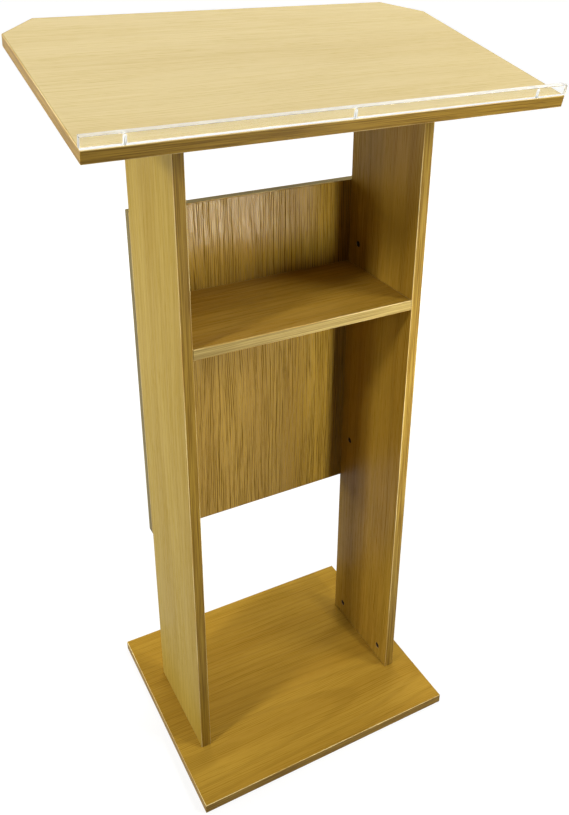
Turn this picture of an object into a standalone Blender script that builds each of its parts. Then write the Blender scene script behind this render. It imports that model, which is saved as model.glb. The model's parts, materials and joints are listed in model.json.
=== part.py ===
"""Flat-pack lectern: oak-effect boards pulled together by cam fittings, with a clear page stop.

Run with blender --background --python part.py, or from the text editor.
Metres, +Z up. The origin is the middle of the base board's underside. X runs to the reader's right, and Y
runs away from the reader, towards the audience.
"""

import math

import bmesh
import bpy
from mathutils import Matrix, Vector

# Boards
BOARD = 0.015  # thickness of every board
BASE_WIDTH = 0.420
BASE_DEPTH = 0.354
UPRIGHT_SPAN = 0.354  # over the outer faces of the two uprights
UPRIGHT_DEPTH = 0.168
SHELF_TOP = 0.706  # height of the shelf's upper face
PANEL_ABOVE_SHELF = 0.127
PANEL_HEIGHT = 0.524
TOP_WIDTH = 0.600
TOP_DEPTH = 0.355  # measured up the slope
TOP_CORNER = 0.047  # legs of the two cut-off far corners
TOP_SLOPE = math.radians(12.5)
TOP_FRONT_HEIGHT = 0.990  # height of the reading face's near edge

# Page stop and its screws
STOP_HEIGHT = 0.013
STOP_THICKNESS = 0.008
STOP_EASE = 0.001  # rounding of its upper edges
STOP_SCREW_FROM_END = 0.044
STOP_HOLE_POINT = 0.002  # cone at the upper end of a blind hole
STOP_HOLE_COVER = 0.0015  # left over that cone
STOP_HOLE_CLEARANCE = 0.0005  # round the screws in the bar
SCREW_HEAD_RADIUS = 0.003
SCREW_HEAD_HEIGHT = 0.0014  # of its countersunk cone
SCREW_HEAD_SUNK = 0.0003  # head below the face that it enters
SCREW_SHANK_RADIUS = 0.00175
SCREW_IN_STOP = 0.0075  # reach above the reading face
SCREW_CHAMFER = 0.0005

# Cam fittings
CAM_RADIUS = 0.005
CAM_HEIGHT = 0.0105
CAM_SUNK = 0.0008  # cam face below the board's face
CAM_SETBACK = 0.025  # from the end of the cam's board to the cam's axis
CAM_CROSS_LENGTH = 0.0064
CAM_CROSS_WIDTH = 0.0014
CAM_CROSS_DEPTH = 0.0022
BOLT_HEAD_RADIUS = 0.0025
BOLT_HEAD_LENGTH = 0.002
BOLT_NECK_RADIUS = 0.0014
BOLT_NECK_MARGIN = 0.0005  # neck showing outside the cam
BOLT_SHANK_RADIUS = 0.003
BOLT_THREAD_RADIUS = 0.0025
BOLT_THREAD_LENGTH = 0.009

# Dowels
DOWEL_RADIUS = 0.004
DOWEL_LENGTH = 0.030
DOWEL_IN_FACE = 0.010  # depth in the board that it enters through the face
DOWEL_CHAMFER = 0.001

# Where the fittings lie
BASE_FITTING_PITCH = 0.115
TOP_FITTING_PITCH = 0.115
SHELF_FITTING_PITCH = 0.115
PANEL_FITTING_FROM_BOTTOM = 0.084
PANEL_FITTING_ABOVE_SHELF = 0.034
PANEL_DOWEL_OFFSET = 0.064  # from the nearest panel fitting

# Clearances
JOINT_GAP = 0.0003  # between two pieces that meet
CAM_CLEARANCE = 0.00015
CHAMBER_CLEARANCE = 0.0003  # round the bolt inside the cam
ENTRY_CLEARANCE = 0.0002  # round the bolt head in the cam's mouth
BORE_CLEARANCE = 0.00015
BORE_END_GAP = 0.0005
OVERCUT = 0.001  # reach of a cutter past the face that it opens

# Facets
CAM_SEGMENTS = 24
BORE_SEGMENTS = 12
EASE_SEGMENTS = 2

# Places that follow from the sizes above
BASE_FACE = BOARD
TOP_FRONT_Y = -BASE_DEPTH / 2
UPRIGHT_X = (UPRIGHT_SPAN - BOARD) / 2
INNER_X = UPRIGHT_SPAN / 2 - BOARD
UPRIGHT_FOOT = BASE_FACE + JOINT_GAP
UPRIGHT_BACK = UPRIGHT_DEPTH / 2
SHELF_MIDDLE = SHELF_TOP - BOARD / 2
SHELF_END = INNER_X - JOINT_GAP
PANEL_TOP = SHELF_TOP + PANEL_ABOVE_SHELF
PANEL_BOTTOM = PANEL_TOP - PANEL_HEIGHT
CAM_FACE = BOARD / 2 - CAM_SUNK  # above the bolt's axis
CAM_FLOOR = CAM_FACE - CAM_HEIGHT
SLOPE_NORMAL = Vector((0, -math.sin(TOP_SLOPE), math.cos(TOP_SLOPE)))
SIDES = {"left": -1, "right": 1}

# Object holders
OBJECTS = "Lectern"
CUTTERS = "Lectern bores"


def clear_scene():
    """Removes every object, so that the script can be run again."""
    for existing in list(bpy.data.objects):
        bpy.data.objects.remove(existing)


def new_collection(name, parent):
    collection = bpy.data.collections.new(name)
    parent.children.link(collection)
    return collection


def new_material(name, colour, roughness, metallic):
    material = bpy.data.materials.new(name)
    material.use_nodes = True
    shader = material.node_tree.nodes["Principled BSDF"]
    shader.inputs["Base Color"].default_value = (*colour, 1)
    shader.inputs["Roughness"].default_value = roughness
    shader.inputs["Metallic"].default_value = metallic
    material.diffuse_color = (*colour, 1)
    return material


def new_object(name, mesh, collection, material=None, parent=None, location=(0, 0, 0), turn=(0, 0, 0)):
    thing = bpy.data.objects.new(name, mesh)
    collection.objects.link(thing)
    thing.parent = parent
    thing.location = location
    thing.rotation_euler = turn
    if material and not mesh.materials:
        mesh.materials.append(material)
    return thing


def new_frame(name, origin, x_axis, z_axis):
    """An empty whose X and Z run along two given unit vectors at right angles."""
    frame = new_object(name, None, bpy.data.collections[OBJECTS])
    frame.matrix_basis = Matrix.Translation(origin) @ axes_matrix(x_axis, z_axis)
    return frame


def axes_matrix(x_axis, z_axis):
    y_axis = z_axis.cross(x_axis)
    return Matrix((x_axis, y_axis, z_axis)).transposed().to_4x4()


def finish_mesh(shape, name):
    """Turns a bmesh into a mesh with its faces pointing out."""
    bmesh.ops.recalc_face_normals(shape, faces=shape.faces)
    mesh = bpy.data.meshes.new(name)
    shape.to_mesh(mesh)
    shape.free()
    return mesh


def box_shape(low, high):
    """A bmesh box between two corners."""
    low, high = Vector(low), Vector(high)
    place = Matrix.Translation((low + high) / 2) @ Matrix.Diagonal((*(high - low), 1))
    shape = bmesh.new()
    bmesh.ops.create_cube(shape, size=1, matrix=place)
    return shape


def box_mesh(name, low, high):
    return finish_mesh(box_shape(low, high), name)


def rod_mesh(name, radius, start, end, axis="Z", segments=BORE_SEGMENTS):
    """A round rod along Z or X. Its flat sides, not its corners, lie at the radius."""
    place = Matrix.Translation((0, 0, (start + end) / 2))
    if axis == "X":
        place = Matrix.Rotation(math.pi / 2, 4, "Y") @ place
    shape = bmesh.new()
    outer = radius / math.cos(math.pi / segments)
    bmesh.ops.create_cone(
        shape,
        cap_ends=True,
        segments=segments,
        radius1=outer,
        radius2=outer,
        depth=end - start,
        matrix=place,
    )
    return finish_mesh(shape, name)


def evaluated_mesh(thing, name):
    """The mesh that an object's modifiers give, with the object then removed."""
    bpy.context.view_layer.update()
    graph = bpy.context.evaluated_depsgraph_get()
    mesh = bpy.data.meshes.new_from_object(thing.evaluated_get(graph))
    mesh.name = name
    bpy.data.objects.remove(thing)
    mesh.shade_smooth()
    mesh.set_sharp_from_angle(angle=math.radians(40))
    return mesh


def turned_mesh(name, profile, segments=BORE_SEGMENTS):
    """A shape turned about Z from (radius, height) points, which run from its top to its bottom."""
    mesh = bpy.data.meshes.new(name + "_profile")
    points = [(radius, 0, height) for radius, height in profile]
    steps = range(len(points) - 1)
    mesh.from_pydata(points, [(step, step + 1) for step in steps], [])
    thing = new_object(name + "_profile", mesh, bpy.data.collections[OBJECTS])
    screw = thing.modifiers.new("Turn", "SCREW")
    screw.steps = segments
    screw.render_steps = segments
    screw.use_merge_vertices = True
    screw.merge_threshold = 0.00001
    return evaluated_mesh(thing, name)


def cut(thing, cutters):
    """Cuts a collection of closed shapes out of an object."""
    boolean = thing.modifiers.new("Bores", "BOOLEAN")
    boolean.operation = "DIFFERENCE"
    boolean.operand_type = "COLLECTION"
    boolean.collection = cutters


def new_cutter(name, mesh, board, parent=None, location=(0, 0, 0)):
    """Adds a closed shape to those that are cut from a board."""
    cutter = new_object(name, mesh, bpy.data.collections[board + "_bores"], None, parent, location)
    cutter.hide_render = True
    cutter.display_type = "WIRE"
    return cutter


def new_board(name, mesh, material, parent=None, location=(0, 0, 0)):
    """Adds a board, with a collection of its own for the bores that are cut from it."""
    board = new_object(name, mesh, bpy.data.collections[OBJECTS], material, parent, location)
    bores = new_collection(name + "_bores", bpy.data.collections[CUTTERS])
    cut(board, bores)
    return board


def slope_height(y, drop=0.0):
    """Height of the plane that lies a given drop below the reading face, at a depth y."""
    return TOP_FRONT_HEIGHT + (y - TOP_FRONT_Y) * math.tan(TOP_SLOPE) - drop / math.cos(TOP_SLOPE)


def upright_mesh(name):
    """A standing board, from its foot to the underside of the reading top, where it is cut to the slope."""
    drop = BOARD + JOINT_GAP
    highest = slope_height(UPRIGHT_BACK, drop) - UPRIGHT_FOOT
    shape = box_shape(
        (-BOARD / 2, -UPRIGHT_DEPTH / 2, 0),
        (BOARD / 2, UPRIGHT_DEPTH / 2, highest + OVERCUT),
    )
    bmesh.ops.bisect_plane(
        shape,
        geom=shape.verts[:] + shape.edges[:] + shape.faces[:],
        plane_co=(0, 0, slope_height(0, drop) - UPRIGHT_FOOT),
        plane_no=SLOPE_NORMAL,
        clear_outer=True,
    )
    bmesh.ops.holes_fill(shape, edges=[edge for edge in shape.edges if edge.is_boundary], sides=0)
    return finish_mesh(shape, name)


def reading_top_mesh(name):
    """The sloping board in its own frame: Y up the slope from the near edge, Z out of the reading face."""
    shape = box_shape((-TOP_WIDTH / 2, 0, -BOARD), (TOP_WIDTH / 2, TOP_DEPTH, 0))
    far_corners = []
    for edge in shape.edges:
        upright = abs(edge.verts[0].co.z - edge.verts[1].co.z) > BOARD / 2
        if upright and edge.verts[0].co.y > TOP_DEPTH / 2:
            far_corners.append(edge)
    bmesh.ops.bevel(
        shape,
        geom=far_corners,
        offset=TOP_CORNER,
        offset_type="OFFSET",
        segments=1,
        profile=0.5,
        affect="EDGES",
    )
    return finish_mesh(shape, name)


def page_stop_mesh(name):
    """The clear bar in the reading top's frame, with its upper edges rounded."""
    foot = JOINT_GAP
    head = JOINT_GAP + STOP_HEIGHT
    shape = box_shape((-TOP_WIDTH / 2, 0, foot), (TOP_WIDTH / 2, STOP_THICKNESS, head))
    middle = (foot + head) / 2
    upper = [edge for edge in shape.edges if all(corner.co.z > middle for corner in edge.verts)]
    bmesh.ops.bevel(
        shape,
        geom=upper,
        offset=STOP_EASE,
        offset_type="OFFSET",
        segments=EASE_SEGMENTS,
        profile=0.5,
        affect="EDGES",
    )
    return finish_mesh(shape, name)


def cam_mesh(name):
    """A cam about its own Z, with the bolt along +X at rest.

    Inside, a round chamber holds the bolt's head. A slot lets the neck pass while the cam turns through half
    a circle, and a mouth opposite the bolt lets the head in and out at the end of that turn.
    """
    shape = bmesh.new()
    bmesh.ops.create_cone(
        shape,
        cap_ends=True,
        segments=CAM_SEGMENTS,
        radius1=CAM_RADIUS,
        radius2=CAM_RADIUS,
        depth=CAM_HEIGHT,
        matrix=Matrix.Translation((0, 0, (CAM_FACE + CAM_FLOOR) / 2)),
    )
    cam = new_object(name, finish_mesh(shape, name + "_blank"), bpy.data.collections[OBJECTS])
    bores = new_collection(name + "_bores", bpy.data.collections[CUTTERS])
    sweep = math.hypot(BOLT_HEAD_RADIUS, BOLT_HEAD_LENGTH / 2)
    reach = BOLT_HEAD_RADIUS + CHAMBER_CLEARANCE
    chamber = rod_mesh("cam_chamber", sweep + CHAMBER_CLEARANCE, -reach, reach)
    slot = BOLT_NECK_RADIUS + CHAMBER_CLEARANCE
    outside = CAM_RADIUS + OVERCUT
    neck_slot = box_mesh("cam_neck_slot", (-outside, -outside, -slot), (outside, slot, slot))
    mouth = rod_mesh("cam_mouth", BOLT_HEAD_RADIUS + ENTRY_CLEARANCE, -outside, 0, axis="X")
    cross_low = CAM_FACE - CAM_CROSS_DEPTH
    cross_high = CAM_FACE + OVERCUT
    half_length, half_width = CAM_CROSS_LENGTH / 2, CAM_CROSS_WIDTH / 2
    bar = box_mesh("cam_cross_bar", (-half_length, -half_width, cross_low), (half_length, half_width, cross_high))
    post = box_mesh("cam_cross_post", (-half_width, -half_length, cross_low), (half_width, half_length, cross_high))
    for cutter in (chamber, neck_slot, mouth, bar, post):
        new_cutter(cutter.name, cutter, name)
    cut(cam, bores)
    return evaluated_mesh(cam, name)


def bolt_mesh(name):
    """A cam bolt about its own Z: its head lies at the cam's axis, and its thread points up."""
    neck_end = CAM_RADIUS + CAM_CLEARANCE + BOLT_NECK_MARGIN
    tip = CAM_SETBACK + JOINT_GAP + BOLT_THREAD_LENGTH
    head = BOLT_HEAD_LENGTH / 2
    profile = [
        (0, tip),
        (BOLT_THREAD_RADIUS, tip),
        (BOLT_THREAD_RADIUS, CAM_SETBACK),
        (BOLT_SHANK_RADIUS, CAM_SETBACK),
        (BOLT_SHANK_RADIUS, neck_end),
        (BOLT_NECK_RADIUS, neck_end),
        (BOLT_NECK_RADIUS, head),
        (BOLT_HEAD_RADIUS, head),
        (BOLT_HEAD_RADIUS, -head),
        (0, -head),
    ]
    return turned_mesh(name, profile)


def dowel_mesh(name):
    """A dowel about Z, with Z = 0 at the end of the board that it stands in."""
    low = -JOINT_GAP - DOWEL_IN_FACE
    high = low + DOWEL_LENGTH
    inner = DOWEL_RADIUS - DOWEL_CHAMFER
    profile = [
        (0, high),
        (inner, high),
        (DOWEL_RADIUS, high - DOWEL_CHAMFER),
        (DOWEL_RADIUS, low + DOWEL_CHAMFER),
        (inner, low),
        (0, low),
    ]
    return turned_mesh(name, profile)


def stop_screw_mesh(name):
    """A screw of the page stop about Z, with Z = 0 at the reading face and its head in the underside."""
    head = SCREW_HEAD_SUNK - BOARD
    profile = [
        (0, SCREW_IN_STOP),
        (SCREW_SHANK_RADIUS - SCREW_CHAMFER, SCREW_IN_STOP),
        (SCREW_SHANK_RADIUS, SCREW_IN_STOP - SCREW_CHAMFER),
        (SCREW_SHANK_RADIUS, head + SCREW_HEAD_HEIGHT),
        (SCREW_HEAD_RADIUS, head),
        (0, head),
    ]
    return turned_mesh(name, profile)


def screw_bore_mesh(name):
    """The hole that a screw takes through the reading top, countersunk from below, in the screw's own place."""
    flat = math.cos(math.pi / BORE_SEGMENTS)
    shank = (SCREW_SHANK_RADIUS + BORE_CLEARANCE) / flat
    mouth = (SCREW_HEAD_RADIUS + BORE_CLEARANCE) / flat
    head = SCREW_HEAD_SUNK - BOARD
    profile = [
        (0, OVERCUT),
        (shank, OVERCUT),
        (shank, head + SCREW_HEAD_HEIGHT),
        (mouth, head),
        (mouth, -BOARD - OVERCUT),
        (0, -BOARD - OVERCUT),
    ]
    return turned_mesh(name, profile)


def stop_hole_mesh(name):
    """The blind hole that a screw enters in the bar, drilled from below, in the screw's own place."""
    radius = SCREW_SHANK_RADIUS + STOP_HOLE_CLEARANCE
    outer = radius / math.cos(math.pi / BORE_SEGMENTS)
    tip = JOINT_GAP + STOP_HEIGHT - STOP_HOLE_COVER
    profile = [
        (0, tip),
        (outer, tip - STOP_HOLE_POINT),
        (outer, JOINT_GAP - OVERCUT),
        (0, JOINT_GAP - OVERCUT),
    ]
    return turned_mesh(name, profile)


class Fittings:
    """The meshes and materials that the repeated fittings share, and the functions that place them."""

    def __init__(self, zinc, steel, beech):
        self.zinc, self.steel, self.beech = zinc, steel, beech
        self.cam = cam_mesh("cam")
        self.bolt = bolt_mesh("cam_bolt")
        self.dowel = dowel_mesh("dowel")
        cam_low = CAM_FLOOR - BORE_END_GAP
        self.cam_bore = rod_mesh(
            "cam_bore", CAM_RADIUS + CAM_CLEARANCE, cam_low, BOARD / 2 + OVERCUT, segments=CAM_SEGMENTS
        )
        shank = BOLT_SHANK_RADIUS + BORE_CLEARANCE
        self.shank_bore = rod_mesh("shank_bore", shank, 0, CAM_SETBACK + OVERCUT, axis="X")
        thread = BOLT_THREAD_RADIUS + BORE_CLEARANCE
        mouth = CAM_SETBACK + JOINT_GAP
        self.thread_bore = rod_mesh(
            "thread_bore", thread, mouth - OVERCUT, mouth + BOLT_THREAD_LENGTH + BORE_END_GAP, axis="X"
        )
        dowel = DOWEL_RADIUS + BORE_CLEARANCE
        low = -JOINT_GAP - DOWEL_IN_FACE
        self.dowel_end_bore = rod_mesh("dowel_end_bore", dowel, -OVERCUT, low + DOWEL_LENGTH + BORE_END_GAP)
        self.dowel_face_bore = rod_mesh("dowel_face_bore", dowel, low - BORE_END_GAP, OVERCUT - JOINT_GAP)

    def add_cam(self, joint, place, end, into, outward, cam_board, face_board):
        """Places a cam with its bolt.

        end is where the bolt's axis crosses the end of the cam's board, into points from there into that
        board, and outward points out of the face that the cam sits in.
        """
        objects = bpy.data.collections[OBJECTS]
        frame = new_frame(f"{joint}_fitting_{place}", end + into * CAM_SETBACK, -into, outward)
        new_object(f"{joint}_cam_{place}", self.cam, objects, self.zinc, frame)
        along_x = (0, math.pi / 2, 0)
        new_object(f"{joint}_bolt_{place}", self.bolt, objects, self.steel, frame, turn=along_x)
        new_cutter(f"{joint}_cam_bore_{place}", self.cam_bore, cam_board, frame)
        new_cutter(f"{joint}_shank_bore_{place}", self.shank_bore, cam_board, frame)
        new_cutter(f"{joint}_thread_bore_{place}", self.thread_bore, face_board, frame)

    def add_dowel(self, joint, place, end, into, outward, end_board, face_board):
        """Places a dowel that stands in one board's end and enters the other through its face."""
        objects = bpy.data.collections[OBJECTS]
        frame = new_frame(f"{joint}_dowel_seat_{place}", end, outward, into)
        new_object(f"{joint}_dowel_{place}", self.dowel, objects, self.beech, frame)
        new_cutter(f"{joint}_end_bore_{place}", self.dowel_end_bore, end_board, frame)
        new_cutter(f"{joint}_face_bore_{place}", self.dowel_face_bore, face_board, frame)


def add_boards(oak):
    """Adds the base, the uprights, the shelf and the panel."""
    base = box_mesh("base_board", (-BASE_WIDTH / 2, -BASE_DEPTH / 2, 0), (BASE_WIDTH / 2, BASE_DEPTH / 2, BOARD))
    new_board("base_board", base, oak)
    for side, sign in SIDES.items():
        name = side + "_upright"
        new_board(name, upright_mesh(name), oak, location=(sign * UPRIGHT_X, 0, UPRIGHT_FOOT))
    half = Vector((SHELF_END, UPRIGHT_DEPTH / 2, BOARD / 2))
    new_board("shelf", box_mesh("shelf", -half, half), oak, location=(0, 0, SHELF_MIDDLE))
    half = Vector((UPRIGHT_SPAN / 2, BOARD / 2, PANEL_HEIGHT / 2))
    panel_y = UPRIGHT_BACK + JOINT_GAP + BOARD / 2
    panel_z = (PANEL_TOP + PANEL_BOTTOM) / 2
    new_board("modesty_panel", box_mesh("modesty_panel", -half, half), oak, location=(0, panel_y, panel_z))


def add_reading_top(oak, acrylic, steel):
    """Adds the sloping top with the page stop and its screws, all in the slope's own frame."""
    objects = bpy.data.collections[OBJECTS]
    origin = Vector((0, TOP_FRONT_Y, TOP_FRONT_HEIGHT))
    slope = new_frame("slope", origin, Vector((1, 0, 0)), SLOPE_NORMAL)
    new_board("reading_top", reading_top_mesh("reading_top"), oak, slope)
    new_board("page_stop", page_stop_mesh("page_stop"), acrylic, slope)
    screw = stop_screw_mesh("page_stop_screw")
    blind = stop_hole_mesh("stop_hole")
    through = screw_bore_mesh("stop_screw_bore")
    outer = TOP_WIDTH / 2 - STOP_SCREW_FROM_END
    for place, x in (("left", -outer), ("middle", 0), ("right", outer)):
        seat = (x, STOP_THICKNESS / 2, 0)
        new_object("page_stop_screw_" + place, screw, objects, steel, slope, seat)
        new_cutter("stop_hole_" + place, blind, "page_stop", slope, seat)
        new_cutter("stop_screw_bore_" + place, through, "reading_top", slope, seat)


def add_fittings(fittings):
    """Places the cams, bolts and dowels of every joint, on the left and on the right."""
    up = Vector((0, 0, 1))
    to_reader = Vector((0, -1, 0))
    down_slope_normal = -SLOPE_NORMAL
    top_drop = BOARD + JOINT_GAP
    low = PANEL_BOTTOM + PANEL_FITTING_FROM_BOTTOM
    high = SHELF_TOP + PANEL_FITTING_ABOVE_SHELF
    panel_dowels = {"lower": low + PANEL_DOWEL_OFFSET, "upper": high - PANEL_DOWEL_OFFSET}
    for side, sign in SIDES.items():
        upright = side + "_upright"
        x = sign * UPRIGHT_X
        inward = Vector((-sign, 0, 0))
        for row, step in (("front", -0.5), ("rear", 0.5)):
            place = f"{side}_{row}"
            foot = Vector((x, step * BASE_FITTING_PITCH, UPRIGHT_FOOT))
            fittings.add_cam("base", place, foot, up, inward, upright, "base_board")
            y = step * TOP_FITTING_PITCH
            head = Vector((x, y, slope_height(y, top_drop)))
            fittings.add_cam("top", place, head, down_slope_normal, inward, upright, "reading_top")
            end = Vector((sign * SHELF_END, step * SHELF_FITTING_PITCH, SHELF_MIDDLE))
            fittings.add_cam("shelf", place, end, inward, -up, "shelf", upright)
        foot = Vector((x, 0, UPRIGHT_FOOT))
        fittings.add_dowel("base", side, foot, up, inward, upright, "base_board")
        head = Vector((x, 0, slope_height(0, top_drop)))
        fittings.add_dowel("top", side, head, down_slope_normal, inward, upright, "reading_top")
        end = Vector((sign * SHELF_END, 0, SHELF_MIDDLE))
        fittings.add_dowel("shelf", side, end, inward, -up, "shelf", upright)
        for row, z in (("lower", low), ("upper", high)):
            place = f"{side}_{row}"
            back = Vector((x, UPRIGHT_BACK, z))
            fittings.add_cam("panel", place, back, to_reader, inward, upright, "modesty_panel")
            back = Vector((x, UPRIGHT_BACK, panel_dowels[row]))
            fittings.add_dowel("panel", place, back, to_reader, inward, upright, "modesty_panel")


def main():
    clear_scene()
    root = bpy.context.scene.collection
    new_collection(OBJECTS, root)
    cutters = new_collection(CUTTERS, root)
    cutters.hide_render = True
    oak = new_material("oak_melamine", (0.56, 0.40, 0.14), 0.45, 0.0)
    acrylic = new_material("clear_acrylic", (0.92, 0.94, 0.92), 0.05, 0.0)
    zinc = new_material("cast_zinc", (0.16, 0.14, 0.12), 0.45, 0.9)
    steel = new_material("plated_steel", (0.55, 0.55, 0.55), 0.30, 1.0)
    beech = new_material("beech", (0.62, 0.44, 0.25), 0.60, 0.0)
    add_boards(oak)
    add_reading_top(oak, acrylic, steel)
    add_fittings(Fittings(zinc, steel, beech))


main()
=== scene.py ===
"""Looks of a flat-pack lectern: oak print boards with banded edges, a clear page stop and cam fittings.

Metres, +Z up. X runs to the reader's right, and Y runs away from the reader, towards the audience.
Each board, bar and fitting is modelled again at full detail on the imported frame, and rides on the body
that it belongs to.
"""

from __future__ import annotations

import json
import logging
import math
from collections import defaultdict
from collections.abc import Iterable
from dataclasses import dataclass
from enum import Enum

import bmesh
import bpy
from mathutils import Euler, Matrix, Vector

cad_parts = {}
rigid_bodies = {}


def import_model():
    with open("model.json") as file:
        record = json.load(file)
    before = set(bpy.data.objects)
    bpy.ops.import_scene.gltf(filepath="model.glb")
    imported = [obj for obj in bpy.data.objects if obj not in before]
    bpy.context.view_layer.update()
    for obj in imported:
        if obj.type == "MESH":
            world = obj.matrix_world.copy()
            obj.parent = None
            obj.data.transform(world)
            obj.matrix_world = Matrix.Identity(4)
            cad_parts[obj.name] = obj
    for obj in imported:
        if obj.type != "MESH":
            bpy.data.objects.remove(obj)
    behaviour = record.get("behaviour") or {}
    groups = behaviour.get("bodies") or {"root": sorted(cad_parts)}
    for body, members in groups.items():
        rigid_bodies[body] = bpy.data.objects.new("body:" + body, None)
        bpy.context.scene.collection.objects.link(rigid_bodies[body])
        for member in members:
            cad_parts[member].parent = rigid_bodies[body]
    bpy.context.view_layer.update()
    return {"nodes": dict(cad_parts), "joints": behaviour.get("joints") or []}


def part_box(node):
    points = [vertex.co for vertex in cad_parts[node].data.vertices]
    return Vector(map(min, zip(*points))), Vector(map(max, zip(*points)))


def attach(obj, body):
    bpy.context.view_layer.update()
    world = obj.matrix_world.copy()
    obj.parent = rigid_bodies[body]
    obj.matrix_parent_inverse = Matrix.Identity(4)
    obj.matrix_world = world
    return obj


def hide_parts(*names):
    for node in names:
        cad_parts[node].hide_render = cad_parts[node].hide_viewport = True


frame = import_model()
log = logging.getLogger("lectern")

Material = bpy.types.Material
Mesh = bpy.types.Mesh
Node = bpy.types.Node
Piece = bpy.types.Object
Shape = bmesh.types.BMesh
Socket = bpy.types.NodeSocket
Tree = bpy.types.NodeTree
Colour = tuple[float, float, float, float]
Inputs = dict[str | int, object] | tuple[object, ...]
Pair = tuple[float, float]
Ramp = tuple[float, float, float, float]  # from the first pair of values to the second
Triple = tuple[float, float, float]

MM = 0.001
LECTERN = "lectern"
SLOPE = math.radians(12.5)  # of the reading top
UP_SLOPE = (0.0, math.cos(SLOPE), math.sin(SLOPE))
OFF_SLOPE = (0.0, -math.sin(SLOPE), math.cos(SLOPE))
ROUND = 48  # facets of a round piece or bore
OVERCUT = 1 * MM  # by which a cutter stands out of what it cuts
SQUARE = 0.99  # cosine above which a face lies square to a way
WHITE = (1.0, 1.0, 1.0, 1.0)


def linear(hex_colour: str) -> Colour:
    """Turns an sRGB colour into a linear one.

    Args:
        hex_colour: Six hex digits after a hash mark.

    Returns:
        Linear red, green and blue, with an alpha of 1.
    """
    shares = [int(hex_colour[place : place + 2], 16) / 255 for place in (1, 3, 5)]
    red, green, blue = (s / 12.92 if s <= 0.04045 else ((s + 0.055) / 1.055) ** 2.4 for s in shares)
    return red, green, blue, 1.0


class Kind(Enum):
    """The kinds of shader node in use: the node's name, the output that counts, and its settings."""

    PLACE = ("ShaderNodeTexCoord", "Object", {})
    TURN = ("ShaderNodeMapping", "Vector", {})
    NOISE = ("ShaderNodeTexNoise", "Fac", {})
    CELLS = ("ShaderNodeTexVoronoi", "Distance", {})
    FIRST = ("ShaderNodeSeparateXYZ", "X", {})
    SECOND = ("ShaderNodeSeparateXYZ", "Y", {})
    STRETCH = ("ShaderNodeVectorMath", 0, {"operation": "MULTIPLY"})
    SWAY = ("ShaderNodeVectorMath", 0, {"operation": "MULTIPLY_ADD"})
    REACH = ("ShaderNodeVectorMath", "Value", {"operation": "LENGTH"})
    TIMES = ("ShaderNodeMath", 0, {"operation": "MULTIPLY"})
    TIMES_PLUS = ("ShaderNodeMath", 0, {"operation": "MULTIPLY_ADD"})
    CLAMPED_PLUS = ("ShaderNodeMath", 0, {"operation": "MULTIPLY_ADD", "use_clamp": True})
    MOST = ("ShaderNodeMath", 0, {"operation": "MAXIMUM"})
    BELOW = ("ShaderNodeMath", 0, {"operation": "LESS_THAN"})
    SINE = ("ShaderNodeMath", 0, {"operation": "SINE"})
    COSINE = ("ShaderNodeMath", 0, {"operation": "COSINE"})
    RAMP = ("ShaderNodeMapRange", "Result", {})
    EASE = ("ShaderNodeMapRange", "Result", {"interpolation_type": "SMOOTHSTEP"})
    MIX = ("ShaderNodeMix", 2, {"data_type": "RGBA"})
    BUMP = ("ShaderNodeBump", "Normal", {})
    RAYS = ("ShaderNodeLightPath", "Is Camera Ray", {})


def feed(node: Node, inputs: Inputs) -> None:
    """Sets a node's inputs.

    Args:
        node: The node.
        inputs: Values, or sockets to link from, by the inputs' names or numbers or in their order.
    """
    for name, value in inputs.items() if isinstance(inputs, dict) else enumerate(inputs):
        if isinstance(value, Socket):
            node.id_data.links.new(value, node.inputs[name])
        else:
            node.inputs[name].default_value = value


def add_node(tree: Tree, kind: Kind, inputs: Inputs = ()) -> Socket:
    """Adds a node to a tree.

    Args:
        tree: The tree that takes the node.
        kind: The kind of node.
        inputs: Values, or sockets to link from, by the inputs' names or numbers or in their order.

    Returns:
        The node's output that counts.
    """
    name, output, settings = kind.value
    node = tree.nodes.new(name)
    for setting, value in settings.items():
        setattr(node, setting, value)
    feed(node, inputs)
    return node.outputs[output]


def add_pattern(tree: Tree, kind: Kind, place: Socket, sizes: Triple, **inputs: float) -> Socket:
    """Adds a noise or cell texture, with features as large as the sizes along X, Y and Z."""
    drawn = add_node(tree, Kind.STRETCH, (place, tuple(1 / size for size in sizes)))
    return add_node(tree, kind, {"Vector": drawn, "Scale": 1.0, **inputs})


def new_material(name: str) -> tuple[Material, Tree, Node, Socket]:
    """Makes a node material.

    Args:
        name: The name of the real material.

    Returns:
        The material, its tree, its Principled shader and the coordinates of the piece that wears it.
    """
    material = bpy.data.materials.new(name)
    material.use_nodes = True
    tree = material.node_tree
    return material, tree, tree.nodes["Principled BSDF"], add_node(tree, Kind.PLACE)


class Lie(Enum):
    """How a board lies: the ways along the grain, across the grain and through the board."""

    FLAT = ((1.0, 0.0, 0.0), (0.0, 1.0, 0.0), (0.0, 0.0, 1.0))
    SLOPED = ((1.0, 0.0, 0.0), UP_SLOPE, OFF_SLOPE)
    SIDE = ((0.0, 0.0, 1.0), (0.0, 1.0, 0.0), (-1.0, 0.0, 0.0))
    BACK = ((0.0, 0.0, 1.0), (1.0, 0.0, 0.0), (0.0, 1.0, 0.0))

    @property
    def through(self) -> Vector:
        """The unit vector through the board's thickness."""
        return Vector(self.value[2])

    @property
    def turn(self) -> Euler:
        """The turn that brings the grain to X and the thickness to Z."""
        return Matrix(self.value).to_euler()


class Slot(Enum):
    """Material slots of a board's mesh, in their order."""

    FACE = 0
    BAND = 1
    ARRIS = 2
    GLUE = 3


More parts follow.
